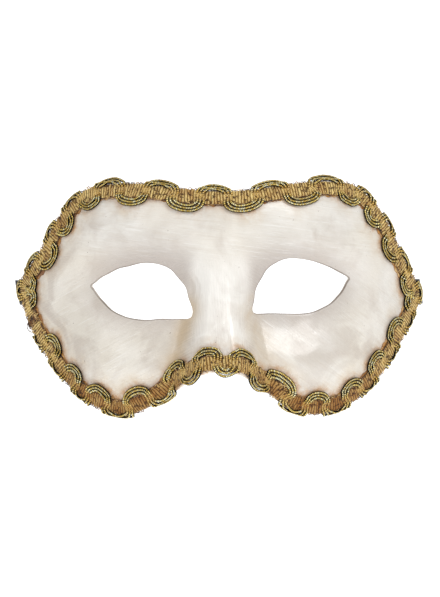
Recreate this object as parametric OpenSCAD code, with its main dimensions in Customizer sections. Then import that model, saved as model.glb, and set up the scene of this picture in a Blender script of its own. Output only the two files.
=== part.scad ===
// Venetian half mask of papier-mache, edged with a gold gimp braid and held by two ribbons.
// The mask faces -Y and +Z is up. Left (-X) and right (+X) are as seen from the front.
// The origin is on the wearer's side of the nose bridge, at eye level.

/* [Shell] */
// Width of the shell from temple to temple, seen from the front
shell_w = 176; // [150:0.5:210]
// Height of the shell from the brow edge to the cheek edge
shell_h = 101; // [88:0.5:122]
// How far the temples lie behind the brow
temple_back = 50; // [38:1:58]
// Thickness of the papier-mache
wall = 2; // [1.2:0.1:3]
// How far the nose stands out at its lower edge
nose_out = 18; // [12:1:24]
// Depth of the eye sockets
socket_depth = 6.5; // [3:0.5:9]
// How far the forehead rolls back at the top edge
forehead_roll = 8; // [3:0.5:12]
// How far the cheeks roll back at the bottom edge
cheek_roll = 5; // [2:0.5:9]
// How far the cheeks swell
cheek_swell = 3.5; // [1:0.5:6]

/* [Eye holes] */
// Width of each eye hole
eye_w = 43.5; // [34:0.5:50]
// Height of each eye hole
eye_h = 24; // [18:0.5:28]

/* [Braid] */
// Width of the woven ground
ground_w = 6.4; // [5:0.1:9]
// Thickness of the woven ground
ground_t = 1; // [0.6:0.1:1.4]
// How much of the ground lies inside the shell's edge, from its middle line
edge_lap = 2.9; // [2:0.1:3]
// Diameter of a wrapped cord
cord_d = 1.15; // [0.7:0.05:1.25]
// Clear gap from cord to cord
cord_gap = 0.15; // [0.1:0.05:0.4]
// How far the inward scallops stand out from the middle line
scallop_in = 7.6; // [6.8:0.1:9.5]
// How far the outward scallops stand out from the middle line
scallop_out = 6.6; // [6.4:0.1:8.5]
// Thickness of the glue under the braid
glue_film = 0.3; // [0.2:0.05:0.6]
// Gap between the two ends of the braid where it is joined
join_gap = 0.6; // [0.4:0.1:2]

/* [Glue] */
// Width of the bead of glue along the braid
bead_w = 1.6; // [0.8:0.1:2.4]
// Height of the bead of glue
bead_h = 0.5; // [0.3:0.1:0.8]
// Thickness of the pad of glue under each ribbon end
pad_t = 0.6; // [0.4:0.1:1]

/* [Ribbons] */
// Width of each tie ribbon
ribbon_w = 11; // [8:0.5:12]
// Thickness of each ribbon
ribbon_t = 0.4; // [0.3:0.05:0.6]
// Length of ribbon glued inside the temple
glued_len = 14; // [10:1:18]
// How far the ribbon's fold reaches past the edge of the shell
fold_out = 7.5; // [6:0.5:11]
// Width of the fold, from the ribbon's way out to its way back
fold_gap = 4.5; // [4:0.5:7]
// How far inside the temple each folded hank stands
hank_in = 13; // [12:0.5:15]
// Gap between the shell and the hank
hank_gap = 1.5; // [1.3:0.1:2.5]
// Length of each folded hank
hank_len = 50; // [44:1:52]
// Thickness of each folded hank
hank_t = 9; // [6:0.5:10]
// Height of the thread that ties each hank
tie_h = 3; // [2:0.5:5]
// Thickness of that thread
tie_t = 0.8; // [0.5:0.1:1.2]
// How far below the ribbon's way in the thread is tied
tie_drop = 11; // [9:0.5:14]

/* [Hidden] */

PAPER = [0.91, 0.88, 0.84];
GROUND_GOLD = [0.78, 0.60, 0.33];
CORD_GOLD = [0.72, 0.62, 0.32];
AMBER = [0.70, 0.46, 0.16];
SATIN_BLACK = [0.06, 0.06, 0.07];
THREAD_BLACK = [0.12, 0.12, 0.13];

// Each half of the edge from the middle of the brow, round the temple, to the middle of the nose:
// [outward, up, how many degrees the free side of the braid is turned back], drawn 176 x 101 mm.
DRAWN_W = 176;
DRAWN_H = 101;
LEFT_EDGE = [
    [0, 45.3, 10], [17, 46.6, 10], [34, 48.8, 12], [46, 49, 15], [57, 47.2, 20], [65, 41.5, 25],
    [72.5, 32, 25], [78.5, 20.5, 20], [88, 6, 12], [85.6, -7, 35], [80.2, -19, 100], [72.5, -30.3, 150],
    [64, -40.2, 160], [53.5, -47.8, 160], [41.5, -51, 130], [31, -47.3, 70], [21, -40.8, 30],
    [10.5, -33.2, 15], [0, -31.3, 15]
];
RIGHT_EDGE = [
    [0, 45.3, 10], [15, 46.3, 10], [32, 48.8, 12], [46, 50, 15], [57.5, 48.7, 20], [66, 42.5, 25],
    [73.5, 32, 25], [79.5, 19.5, 20], [87.9, 1.5, 12], [84.2, -9.5, 35], [79, -19.5, 100], [72.5, -30.3, 150],
    [64.5, -39.8, 160], [54.5, -47.2, 160], [42, -50.5, 130], [31, -48.2, 70], [21, -41, 30],
    [10.5, -33, 15], [0, -31.3, 15]
];
// Each eye hole about its own middle, from its top outwards: [outward, up], drawn 43.5 x 24 mm.
DRAWN_EYE_W = 43.5;
DRAWN_EYE_H = 24;
LEFT_EYE_AT = [34.5, 2.5];
RIGHT_EYE_AT = [35.5, 4.5];
LEFT_EYE = [
    [-2.5, 12], [7.5, 10.3], [16, 6.7], [20.6, 3.6], [22, 2.4], [21.1, 1],
    [17.5, -3.7], [11.5, -8.9], [2.5, -12], [-8.5, -12], [-17.5, -11.7], [-20.6, -11.4],
    [-21.8, -10.2], [-21.7, -7], [-19, 1.3], [-12.5, 9.3]
];
RIGHT_EYE = [
    [-3.5, 12], [6.5, 10.3], [15, 7], [19.7, 4.6], [21, 3.4], [20.2, 2],
    [16.5, -3.7], [9.5, -9.3], [1, -11.5], [-8.5, -11.6], [-17, -11.5], [-19.8, -11.2],
    [-20.8, -10], [-20.6, -7], [-18.3, 1.8], [-12.2, 9.4]
];

// ---- Splines -------------------------------------------------------------------------------
// A smooth closed curve through the points p; t counts the points.
function spline(p, t) =
    let (n = len(p), i = floor(t), f = t - i,
         a = p[(i + n - 1) % n], b = p[i % n], c = p[(i + 1) % n], d = p[(i + 2) % n])
    b + 0.5 * f * (c - a + f * (2 * a - 5 * b + 4 * c - d + f * (3 * b - 3 * c + d - a)));

function ease(from, to, v) =
    let (u = max(0, min(1, (v - from) / (to - from)))) u * u * (3 - 2 * u);

function unit(v) = v / norm(v);

// ---- Edge and eye holes --------------------------------------------------------------------
SPAN = len(LEFT_EDGE) - 1;
size_x = shell_w / DRAWN_W;
size_z = shell_h / DRAWN_H;
EDGE = [
    for (i = [0:SPAN - 1]) [-LEFT_EDGE[i].x * size_x, LEFT_EDGE[i].y * size_z, LEFT_EDGE[i].z],
    for (i = [SPAN:-1:1]) [RIGHT_EDGE[i].x * size_x, RIGHT_EDGE[i].y * size_z, RIGHT_EDGE[i].z]
];
function eye_points(side, at, shape) = [
    for (p = shape)
        [side * (at.x * size_x + p.x * eye_w / DRAWN_EYE_W), at.y * size_z + p.y * eye_h / DRAWN_EYE_H]
];
// Twelve steps round an eye hole, and the point count at each: its corners have points close together.
EYE_COUNT = [
    [0, 0], [1, 1], [2, 2], [3, 4], [4, 6], [5, 7], [6, 8], [7, 9], [8, 10.5], [9, 13], [10, 14], [11, 15], [12, 16]
];
EYES = [eye_points(-1, LEFT_EYE_AT, LEFT_EYE), eye_points(1, RIGHT_EYE_AT, RIGHT_EYE)];

// ---- Front surface -------------------------------------------------------------------------
// The mask wraps back as a power of x, a little more squarely on the right. The forehead and cheek
// rolls and the sockets add to that, and the nose and the cheeks stand out from it.
WRAP_POWER = [2.1, 2.4];
FOREHEAD_FROM = 18 * size_z;
CHEEK_FROM = -20 * size_z;
TOP_Z = 50 * size_z;
LOW_Z = -52 * size_z;
NOSE_FROM = 20 * size_z;
NOSE_TO = -33 * size_z;
NOSE_POWER = 1.5;
NOSE_HALF_W = [9.5, 22] * size_x;
NOSE_FLAT = 0.25;
SOCKET_AT = [31 * size_x, 2 * size_z];
SOCKET_R = [33 * size_x, 19 * size_z, 25 * size_z];
CHEEK_AT = [44 * size_x, -28 * size_z];
CHEEK_R = [26 * size_x, 18 * size_z];
FADE_TO = 20 * size_x;

function wrap_y(x) =
    temple_back * pow(abs(x) / (shell_w / 2), WRAP_POWER[x < 0 ? 0 : 1]);
function roll_y(z) =
    forehead_roll * pow(max(0, z - FOREHEAD_FROM) / (TOP_Z - FOREHEAD_FROM), 2)
    + cheek_roll * pow(max(0, CHEEK_FROM - z) / (CHEEK_FROM - LOW_Z), 2);
function nose_y(x, z) =
    let (down = max(0, min(1.1, (NOSE_FROM - z) / (NOSE_FROM - NOSE_TO))),
         half = NOSE_HALF_W[0] + (NOSE_HALF_W[1] - NOSE_HALF_W[0]) * ease(0, 1, down))
    nose_out * pow(down, NOSE_POWER) * (1 - ease(NOSE_FLAT, 1, abs(x) / half));
// Sockets and cheeks fade out towards the middle line, so that the bridge of the nose stays round.
function off_middle(x) = ease(0, FADE_TO, abs(x));
function socket_y(x, z) =
    let (dx = (abs(x) - SOCKET_AT.x) / SOCKET_R.x, dz = z - SOCKET_AT.y,
         r2 = dx * dx + pow(dz / (dz > 0 ? SOCKET_R.y : SOCKET_R.z), 2))
    socket_depth * off_middle(x) * exp(-r2 * r2);
function cheek_y(x, z) =
    let (dx = (abs(x) - CHEEK_AT.x) / CHEEK_R.x, dz = (z - CHEEK_AT.y) / CHEEK_R.y)
    cheek_swell * off_middle(x) * exp(-dx * dx - dz * dz);
function rise(x, z) = wrap_y(x) + roll_y(z) + socket_y(x, z) - nose_y(x, z) - cheek_y(x, z);
// The origin lies on the wearer's side of the bridge, so the front there is one wall ahead of it.
BRIDGE = rise(0, 0) + wall;
function front_y(x, z) = rise(x, z) - BRIDGE;

STEP = 0.05;
function normal(x, z) =
    unit([(front_y(x + STEP, z) - front_y(x - STEP, z)) / (2 * STEP), -1,
          (front_y(x, z + STEP) - front_y(x, z - STEP)) / (2 * STEP)]);
// The point of the shell at (x, z), a distance up in front of its front surface.
function on_shell(x, z, up) = [x, front_y(x, z), z] + up * normal(x, z);

// ---- Shell ---------------------------------------------------------------------------------
// Rings run from each eye hole out to the edge and the middle line, with two edge points to
// each eye point, so that each ring's points lie in line.
SUB = 3;
RINGS = 7;
ARCS = 24;
ROUND = ARCS * SUB;
MIDDLE_FROM = 16;
MIDDLE_TO = 22;

function edge_xz(side, k) =
    let (p = spline(EDGE, side < 0 ? k : len(EDGE) - k)) k % SPAN == 0 ? [0, p.y] : [p.x, p.y];
function border(side, q) =
    q <= MIDDLE_FROM ? edge_xz(side, q + ARCS - MIDDLE_TO)
    : q >= MIDDLE_TO ? edge_xz(side, q - MIDDLE_TO)
    : [0, EDGE[SPAN].y + (EDGE[0].y - EDGE[SPAN].y) * (q - MIDDLE_FROM) / (MIDDLE_TO - MIDDLE_FROM)];
function on_middle(j) = j >= MIDDLE_FROM * SUB && j <= MIDDLE_TO * SUB;

SHELL_POINTS = [
    for (half = [0, 1], up = [0, -wall], m = [0:RINGS], j = [0:ROUND - 1])
        let (q = j / SUB, hole = spline(EYES[half], lookup(q / 2, EYE_COUNT)), rim = border(half * 2 - 1, q),
             at = hole + (rim - hole) * m / RINGS)
        on_shell(at.x, at.y, up)
];
function shell_index(half, layer, m, j) =
    let (shared = m == RINGS && on_middle(j % ROUND))
    (((shared ? 0 : half) * 2 + layer) * (RINGS + 1) + m) * ROUND + j % ROUND;
function turned(half, face) = half == 0 ? face : [for (i = [len(face) - 1:-1:0]) face[i]];
function split(f) = [[f[0], f[1], f[2]], [f[0], f[2], f[3]]];
SHELL_QUADS = [
    for (half = [0, 1], m = [0:RINGS - 1], j = [0:ROUND - 1]) each [
        turned(half, [shell_index(half, 0, m, j), shell_index(half, 0, m, j + 1),
                      shell_index(half, 0, m + 1, j + 1), shell_index(half, 0, m + 1, j)]),
        turned(half, [shell_index(half, 1, m, j), shell_index(half, 1, m + 1, j),
                      shell_index(half, 1, m + 1, j + 1), shell_index(half, 1, m, j + 1)])
    ],
    for (half = [0, 1], j = [0:ROUND - 1])
        turned(half, [shell_index(half, 0, 0, j + 1), shell_index(half, 0, 0, j),
                      shell_index(half, 1, 0, j), shell_index(half, 1, 0, j + 1)]),
    for (half = [0, 1], j = [0:ROUND - 1])
        if (!(on_middle(j) && on_middle(j + 1)))
            turned(half, [shell_index(half, 0, RINGS, j), shell_index(half, 0, RINGS, j + 1),
                          shell_index(half, 1, RINGS, j + 1), shell_index(half, 1, RINGS, j)])
];

module mask_shell() {
    color(PAPER)
        polyhedron(SHELL_POINTS, [for (quad = SHELL_QUADS) each split(quad)]);
}

// ---- Braid ---------------------------------------------------------------------------------
// The braid follows the edge from its join below the left temple. A place on it is
// (along, across, up): across is 0 on the ground's middle line and grows outwards.
JOIN_AT = 9.4;
EDGE_STEPS = 8;
function edge_at(t) =
    let (p = spline(EDGE, t + len(EDGE))) concat(on_shell(p.x, p.y, 0), [p.z]);
function xyz(v) = [v[0], v[1], v[2]];
TRACE = [for (i = [0:len(EDGE) * EDGE_STEPS]) edge_at(JOIN_AT + i / EDGE_STEPS)];
LENGTHS = [
    for (i = 0, run = 0; i < len(TRACE);
         run = run + (i < len(TRACE) - 1 ? norm(xyz(TRACE[i + 1]) - xyz(TRACE[i])) : 0), i = i + 1)
        [run, JOIN_AT + i / EDGE_STEPS]
];
BRAID_LEN = LENGTHS[len(LENGTHS) - 1][0];

function braid_point(along, across, up) =
    let (t = lookup(along, LENGTHS),
         here = edge_at(t),
         dir = unit(xyz(edge_at(t + 0.05)) - xyz(edge_at(t - 0.05))),
         face = normal(here[0], here[2]),
         out = cross(dir, face),
         lap = edge_lap - across,
         in = xyz(here) - out * lap,
         bend = wall / 2,
         turn = min(here[3], -lap / (bend + ground_t / 2) * 180 / PI),
         rest = max(0, -lap - here[3] * PI / 180 * (bend + ground_t / 2)))
    lap >= 0 ? on_shell(in.x, in.z, up)
    : xyz(here) - face * bend + (bend + up) * (face * cos(turn) + out * sin(turn))
      + rest * (out * cos(turn) - face * sin(turn));

// A solid through rings of points, closed at both ends; the rings turn clockwise along the way.
module sweep(rings) {
    n = len(rings[0]);
    last = (len(rings) - 1) * n;
    polyhedron(
        [for (ring = rings) each ring],
        [[for (k = [n - 1:-1:0]) k],
         for (i = [0:len(rings) - 2], k = [0:n - 1]) each split(
             [i * n + k, i * n + (k + 1) % n, (i + 1) * n + (k + 1) % n, (i + 1) * n + k]),
         [for (k = [0:n - 1]) last + k]]);
}

CLEAR = 0.15;
GROUND_LOW = glue_film;
GROUND_TOP = GROUND_LOW + ground_t;
BRAID_RINGS = 200;
function along_braid(i) = join_gap / 2 + (BRAID_LEN - join_gap) * i / BRAID_RINGS;

module braid_ground() {
    half = ground_w / 2;
    section = [
        [-half, GROUND_LOW], [0, GROUND_LOW], [edge_lap - 0.01, GROUND_LOW], [half, GROUND_LOW],
        [half, GROUND_TOP], [edge_lap - 0.01, GROUND_TOP], [0, GROUND_TOP], [-half, GROUND_TOP]
    ];
    color(GROUND_GOLD)
        sweep([for (i = [0:BRAID_RINGS]) [for (p = section) braid_point(along_braid(i), p.x, p.y)]]);
}

// The cords run as a meander of scallops. The middle of each scallop that turns inwards is given in
// edge points: the braid is stretched along the brow and squeezed round the temples and the nose.
SCALLOP_AT = [10.6, 11.8, 12.9, 14.8, 16.4, 17.6, 18.8, 20.2, 21.9, 23.4, 24.7, 26.1, 27.5, 28.4, 29.4,
              30.6, 32, 33.9, 35.4, 36.8, 38.2, 40.1, 41.7, 42.9, 43.8, 44.7];
ALONG_AT = let (table = [for (p = LENGTHS) [p[1], p[0]]]) [for (t = SCALLOP_AT) lookup(t, table)];
COUNT = len(ALONG_AT);
SCALLOPS = concat(
    [[-1, 2 * ALONG_AT[0] - ALONG_AT[1]]],
    [for (i = [0:COUNT - 1]) [i, ALONG_AT[i]]],
    [[COUNT, 2 * ALONG_AT[COUNT - 1] - ALONG_AT[COUNT - 2]]]);
// Where the cords are cut near the join, counted in scallops.
CORD_FROM = -0.6;
CORD_TO = COUNT - 0.7;
CORD_RINGS = 368;
// Two waves along the braid that widen each scallop, so that three cords can turn in it.
SPREAD = [0.1, -0.01];
cord_step = cord_d + cord_gap;
CORD_MIDDLE = (scallop_in + scallop_out) / 2 - cord_step - cord_d / 2;
CORD_SHIFT = (scallop_in - scallop_out) / 2;
// At the angle a, one turn to a scallop, the middle cord's [along, across].
function meander(a) =
    [lookup(a / 360 + SPREAD[0] * sin(2 * a) + SPREAD[1] * sin(4 * a), SCALLOPS),
     -CORD_MIDDLE * cos(a) - CORD_SHIFT];
// A cord beside the middle one is offset square to it.
function cord_place(a, offset) =
    let (dir = unit(meander(a + 1) - meander(a - 1))) meander(a) + offset * [dir.y, -dir.x];

module gimp_cord(offset) {
    mid = GROUND_TOP + CLEAR + cord_d / 2;
    color(CORD_GOLD) sweep([
        for (i = [0:CORD_RINGS])
            let (a = 360 * (CORD_FROM + (CORD_TO - CORD_FROM) * i / CORD_RINGS), at = cord_place(a, offset),
                 dir = unit(meander(a + 1) - meander(a - 1)) * cord_d / 2)
            [braid_point(at.x + dir.y, at.y - dir.x, mid), braid_point(at.x, at.y, mid - cord_d / 2),
             braid_point(at.x - dir.y, at.y + dir.x, mid), braid_point(at.x, at.y, mid + cord_d / 2)]
    ]);
}

module gimp_cord_a() { gimp_cord(-cord_step); }
module gimp_cord_b() { gimp_cord(0); }
module gimp_cord_c() { gimp_cord(cord_step); }

module glue_bead() {
    near = -ground_w / 2 - CLEAR;
    color(AMBER) sweep([
        for (i = [0:BRAID_RINGS])
            let (s = along_braid(i))
            [braid_point(s, near - bead_w, GROUND_LOW), braid_point(s, near, GROUND_LOW),
             braid_point(s, near, GROUND_LOW + bead_h),
             braid_point(s, near - bead_w / 2, GROUND_LOW + bead_h)]
    ]);
}

// ---- Ribbons -------------------------------------------------------------------------------
// side is -1 on the left and 1 on the right of the mask. Seen from above, each ribbon leaves its
// pad inside the temple, passes the edge, folds back and runs to its hank. Plans are drawn for the
// right side and mirrored for the left.
TEMPLE = 8;
RIBBON_UP = [2 * size_z, 2.5 * size_z];
TOUCH = 0.03;
GLUED_STEPS = 4;
FOLD_STEPS = 8;

function temple_x(side) = abs(spline(EDGE, side < 0 ? TEMPLE : len(EDGE) - TEMPLE).x);
function ribbon_up(side) = RIBBON_UP[side < 0 ? 0 : 1];
// The point and the outward direction, in plan, at x, a distance behind the front surface.
function plan(side, x, behind) =
    let (p = on_shell(side * x, ribbon_up(side), -behind)) [side * p.x, p.y];
function plan_out(side, x) =
    let (n = normal(side * x, ribbon_up(side))) unit([-n.y, side * n.x]);
function left_of(v) = [-v.y, v.x];
function thick(path, t) = concat(
    [for (i = [0:len(path) - 1]) path[i] + left_of(heading(path, i)) * t / 2],
    [for (i = [len(path) - 1:-1:0]) path[i] - left_of(heading(path, i)) * t / 2]);
function heading(path, i) = unit(path[min(i + 1, len(path) - 1)] - path[max(i - 1, 0)]);

pad_behind = wall + CLEAR + pad_t / 2;
ribbon_behind = wall + CLEAR + pad_t + ribbon_t / 2;
hank_behind = wall + hank_gap + hank_t / 2;

function glued_run(side, behind) =
    let (edge = temple_x(side), reach = glued_len * plan_out(side, edge).x)
    [for (i = [0:GLUED_STEPS]) plan(side, edge - reach * (1 - i / GLUED_STEPS), behind)];
function hank_x(side) = temple_x(side) - hank_in;
function hank_at(side) = plan(side, hank_x(side), hank_behind);
function lead_path(side) =
    let (run = glued_run(side, ribbon_behind),
         out = plan_out(side, temple_x(side)),
         turn_at = run[GLUED_STEPS] + out * fold_out + left_of(out) * fold_gap / 2)
    concat(run,
           [for (i = [0:FOLD_STEPS])
               let (a = -90 + 180 * i / FOLD_STEPS)
               turn_at + fold_gap / 2 * (out * cos(a) + left_of(out) * sin(a))],
           [hank_at(side) + plan_out(side, hank_x(side)) * (ribbon_w / 2 + TOUCH)]);

module on_side(side) {
    if (side < 0) mirror([1, 0, 0]) children();
    else children();
}
module upright(side, height) {
    translate([0, 0, ribbon_up(side) - height / 2]) linear_extrude(height = height) children();
}
module at_hank(side) {
    out = plan_out(side, hank_x(side));
    translate([hank_at(side).x, hank_at(side).y, ribbon_up(side)])
        rotate([0, 0, atan2(out.y, out.x)]) children();
}

module ribbon_glue(side) {
    color(AMBER) on_side(side) upright(side, ribbon_w + 2)
        polygon(thick(glued_run(side, pad_behind), pad_t));
}

module ribbon_lead(side) {
    color(SATIN_BLACK) on_side(side) upright(side, ribbon_w)
        polygon(thick(lead_path(side), ribbon_t));
}

// The hank is a flat bundle with round ends, as wide as the ribbon and standing upright.
module ribbon_hank(side) {
    straight = hank_len - hank_t;
    color(SATIN_BLACK) on_side(side) at_hank(side)
        rotate([0, -90, 0]) linear_extrude(height = ribbon_w, center = true) union() {
            square([straight, hank_t], center = true);
            for (end = [-1, 1]) translate([end * straight / 2, 0]) circle(d = hank_t, $fn = 32);
        }
}

module hank_tie(side) {
    color(THREAD_BLACK) on_side(side) at_hank(side)
        translate([0, 0, -tie_drop]) linear_extrude(height = tie_h, center = true) difference() {
            square([ribbon_w + 2 * tie_t, hank_t + 2 * tie_t], center = true);
            square([ribbon_w, hank_t], center = true);
        }
}

module left_ribbon_glue() { ribbon_glue(-1); }
module right_ribbon_glue() { ribbon_glue(1); }
module left_ribbon_lead() { ribbon_lead(-1); }
module right_ribbon_lead() { ribbon_lead(1); }
module left_ribbon_hank() { ribbon_hank(-1); }
module right_ribbon_hank() { ribbon_hank(1); }
module left_hank_tie() { hank_tie(-1); }
module right_hank_tie() { hank_tie(1); }

mask_shell();
braid_ground();
gimp_cord_a();
gimp_cord_b();
gimp_cord_c();
glue_bead();
left_ribbon_glue();
right_ribbon_glue();
left_ribbon_lead();
right_ribbon_lead();
left_ribbon_hank();
right_ribbon_hank();
left_hank_tie();
right_hank_tie();
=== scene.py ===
# %% [markdown]
# # A Venetian half mask
#
# The real mask is a shell of papier-mache, primed with gesso, painted and varnished. A gold gimp
# braid is glued round its whole edge, and a black satin ribbon is glued inside each temple. This
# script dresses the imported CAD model: every visible piece is a surface worked out with numpy, in
# the same frame and at the same size as the CAD solids that it stands for.

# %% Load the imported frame
import math

import bmesh
import bpy
import numpy as np
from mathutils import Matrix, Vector


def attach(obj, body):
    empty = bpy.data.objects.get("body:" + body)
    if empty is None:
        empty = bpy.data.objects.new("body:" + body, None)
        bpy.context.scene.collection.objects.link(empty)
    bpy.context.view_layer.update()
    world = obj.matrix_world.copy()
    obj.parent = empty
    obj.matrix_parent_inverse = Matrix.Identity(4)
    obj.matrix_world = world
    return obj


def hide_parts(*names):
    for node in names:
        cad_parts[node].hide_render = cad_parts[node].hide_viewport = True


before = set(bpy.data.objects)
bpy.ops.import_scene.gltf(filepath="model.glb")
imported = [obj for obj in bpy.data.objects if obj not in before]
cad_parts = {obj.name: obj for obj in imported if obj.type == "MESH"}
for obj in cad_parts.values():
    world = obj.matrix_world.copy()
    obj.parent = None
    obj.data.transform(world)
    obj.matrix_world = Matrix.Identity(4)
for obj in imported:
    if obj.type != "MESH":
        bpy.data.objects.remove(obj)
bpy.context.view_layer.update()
MM = 0.001
BODY = "root"


def in_scene(name, data):
    """A new object that shows data, put into the scene."""
    made = bpy.data.objects.new(name, data)
    bpy.context.scene.collection.objects.link(made)
    return made


# %% [markdown]
# ## The camera
#
# The mask is looked at straight from the front with a long lens, so that the temples, which lie far
# back, are hardly smaller than the nose. A short lens would stretch the nose.

# %% Camera
CAMERA_BACK = 1.7
FRAME_WIDTH = 0.1936
AIM = Vector((0.0, 0.03, -0.0007))

camera_data = bpy.data.cameras.new("studio_camera")
camera = in_scene("studio_camera", camera_data)
camera.location = AIM - Vector((0.0, CAMERA_BACK, 0.0))
camera.rotation_euler = (math.pi / 2, 0.0, 0.0)
camera_data.sensor_fit = "HORIZONTAL"
camera_data.lens = camera_data.sensor_width * CAMERA_BACK / FRAME_WIDTH
bpy.context.scene.camera = camera
print("lens in mm:", round(camera_data.lens))

# %% [markdown]
# ## Studio
#
# A varnished surface shows what is around it, so the lights are large soft boxes: their
# reflections are the broad bright patches on the forehead and the cheeks. A white room lifts the
# shadows. The floor and the backdrop are one white sweep, far enough away to stay out of the way.

# %% Lights, room and sweep
def soft_box(name, at, aim, size, power):
    """A rectangular area light at a point, turned to face aim."""
    data = bpy.data.lights.new(name, "AREA")
    data.shape = "RECTANGLE"
    data.size, data.size_y = size
    data.energy = power
    light = in_scene(name, data)
    light.location = at
    light.rotation_euler = (Vector(aim) - Vector(at)).to_track_quat("-Z", "Z").to_euler()


soft_box("box_upper_right", (0.55, -0.75, 0.85), (0.0, 0.0, 0.0), (0.55, 0.4), 4.8)
soft_box("box_upper_left", (-0.75, -0.6, 0.6), (0.0, 0.0, 0.0), (0.4, 0.6), 1.1)
soft_box("box_front", (0.0, -1.3, 0.25), (0.0, 0.0, 0.0), (0.9, 0.5), 1.4)

world = bpy.data.worlds.new("white_room")
bpy.context.scene.world = world
world.use_nodes = True
room = world.node_tree.nodes["Background"].inputs
room["Color"].default_value = (1.0, 1.0, 1.0, 1.0)
room["Strength"].default_value = 0.5

# %% [markdown]
# ## From formulas to meshes
#
# Each surface below is a grid of points. `grid_faces` joins neighbouring points with quads, and
# `new_piece` puts points and quads into a mesh, welds the seams, and makes all faces point outwards.


# %% Mesh helpers
def grid_faces(rows, cols, ring=False):
    """Quads between neighbours of a rows x cols grid numbered row by row; ring closes each row."""
    i, j = np.meshgrid(np.arange(rows - 1), np.arange(cols if ring else cols - 1), indexing="ij")
    k = (j + 1) % cols
    return np.stack([i * cols + j, i * cols + k, (i + 1) * cols + k, (i + 1) * cols + j], -1).reshape(-1, 4)


def grid_uv(u, v):
    """Corner coordinates for the quads of a grid whose rows lie at u and whose columns lie at v."""
    i, j = np.meshgrid(np.arange(len(u) - 1), np.arange(len(v) - 1), indexing="ij")
    corners = [(i, j), (i, j + 1), (i + 1, j + 1), (i + 1, j)]
    return np.stack([np.stack([u[a], v[b]], -1) for a, b in corners], 2).reshape(-1, 2)


def new_piece(name, points, faces, finish, slot, uv=None, weld=0.0, smooth=True):
    """A mesh object from points in mm, at the origin, with its finish, riding on the one body."""
    mesh = bpy.data.meshes.new(name)
    mesh.from_pydata((np.asarray(points).reshape(-1, 3) * MM).tolist(), [], np.asarray(faces).tolist())
    if uv is not None:
        layer = mesh.uv_layers.new(name="along")
        layer.data.foreach_set("uv", np.asarray(uv, np.float32).ravel())
    shape = bmesh.new()
    shape.from_mesh(mesh)
    if weld:
        bmesh.ops.remove_doubles(shape, verts=shape.verts, dist=weld * MM)
    bmesh.ops.recalc_face_normals(shape, faces=shape.faces)
    shape.to_mesh(mesh)
    shape.free()
    mesh.polygons.foreach_set("use_smooth", [smooth] * len(mesh.polygons))
    mesh.materials.append(finish)
    piece = in_scene(name, mesh)
    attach(piece, BODY)
    print(f"{name}: {len(mesh.vertices)} points, {len(mesh.polygons)} faces")
    return piece


def unit(v):
    """Vectors scaled to length one."""
    return v / np.linalg.norm(v, axis=-1, keepdims=True)


def left_of(way):
    """The direction a quarter turn to the left of way, in the plane of its two numbers."""
    return np.stack([-way[..., 1], way[..., 0]], -1)


def run_of(path):
    """How far along a path each of its points lies: the sum of the steps up to it."""
    return np.concatenate([[0], np.cumsum(np.linalg.norm(np.diff(path, axis=0), axis=1))])


def points_of(piece):
    """The points of a piece's mesh in mm, one to a row."""
    co = np.empty(len(piece.data.vertices) * 3, np.float32)
    piece.data.vertices.foreach_get("co", co)
    return co.reshape(-1, 3).astype(float) / MM


def bell(x, z, at_x, at_z, wide, high):
    """1 at one place of the XZ plane, and falling off round it as e to minus the squared distance."""
    return np.exp(-((x - at_x) / wide) ** 2 - ((z - at_z) / high) ** 2)


def unevenness(size, seed, *places):
    """Smooth noise about -1 to 1: a dozen cosine waves, each about size mm long in its own direction."""
    dice = np.random.default_rng(seed)
    total = 0.0
    for _ in range(12):
        way = dice.normal(size=len(places))
        way *= dice.uniform(0.6, 1.3) / np.linalg.norm(way)
        phase = 2 * np.pi / size * sum(w * p for w, p in zip(way, places))
        total = total + np.cos(phase + dice.uniform(0, 7))
    return total / math.sqrt(12)


# %% [markdown]
# ## Helpers for finishes
#
# Every finish is a small node tree. `add` puts in one node and fills or links its inputs, and the
# short functions after it are the kinds of node that come up again and again.


# %% Node helpers
def add(tree, kind, sockets=None, **settings):
    """One new node. sockets maps an input's name or number to a value or to another node's output."""
    made = tree.nodes.new(kind)
    for key, value in settings.items():
        setattr(made, key, value)
    for key, value in (sockets or {}).items():
        if isinstance(value, bpy.types.NodeSocket):
            tree.links.new(value, made.inputs[key])
        else:
            made.inputs[key].default_value = value
    return made


def mix(tree, share, first, second, way="MIX"):
    """A colour between first, at share 0, and second, at share 1."""
    sockets = {0: share, 6: first, 7: second}
    return add(tree, "ShaderNodeMix", sockets, data_type="RGBA", blend_type=way).outputs[2]


def grey(value):
    """A plain number as a colour."""
    return (value, value, value, 1.0)


def ramp(tree, value, *stops):
    """value read off a ramp of (place, grey) or (place, colour) stops."""
    made = add(tree, "ShaderNodeValToRGB", {0: value})
    points = made.color_ramp.elements
    while len(points) < len(stops):
        points.new(0.5)
    for point, (place, colour) in zip(points, stops):
        point.position = place
        point.color = colour if hasattr(colour, "__len__") else grey(colour)
    return made.outputs[0]


def calc(tree, way, *values):
    """One sum, product or other operation on numbers."""
    return add(tree, "ShaderNodeMath", dict(enumerate(values)), operation=way).outputs[0]


def times(tree, first, second):
    """The product of two numbers."""
    return calc(tree, "MULTIPLY", first, second)


def off_half(tree, value):
    """How far value's fraction lies from a half: 0 in the middle of each step, 0.5 where steps meet."""
    return calc(tree, "ABSOLUTE", calc(tree, "SUBTRACT", calc(tree, "FRACT", value), 0.5))


def chance(tree, number):
    """A random number from 0 to 1 that is the same wherever number is."""
    return add(tree, "ShaderNodeTexWhiteNoise", {"W": number}, noise_dimensions="1D").outputs["Value"]


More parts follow.
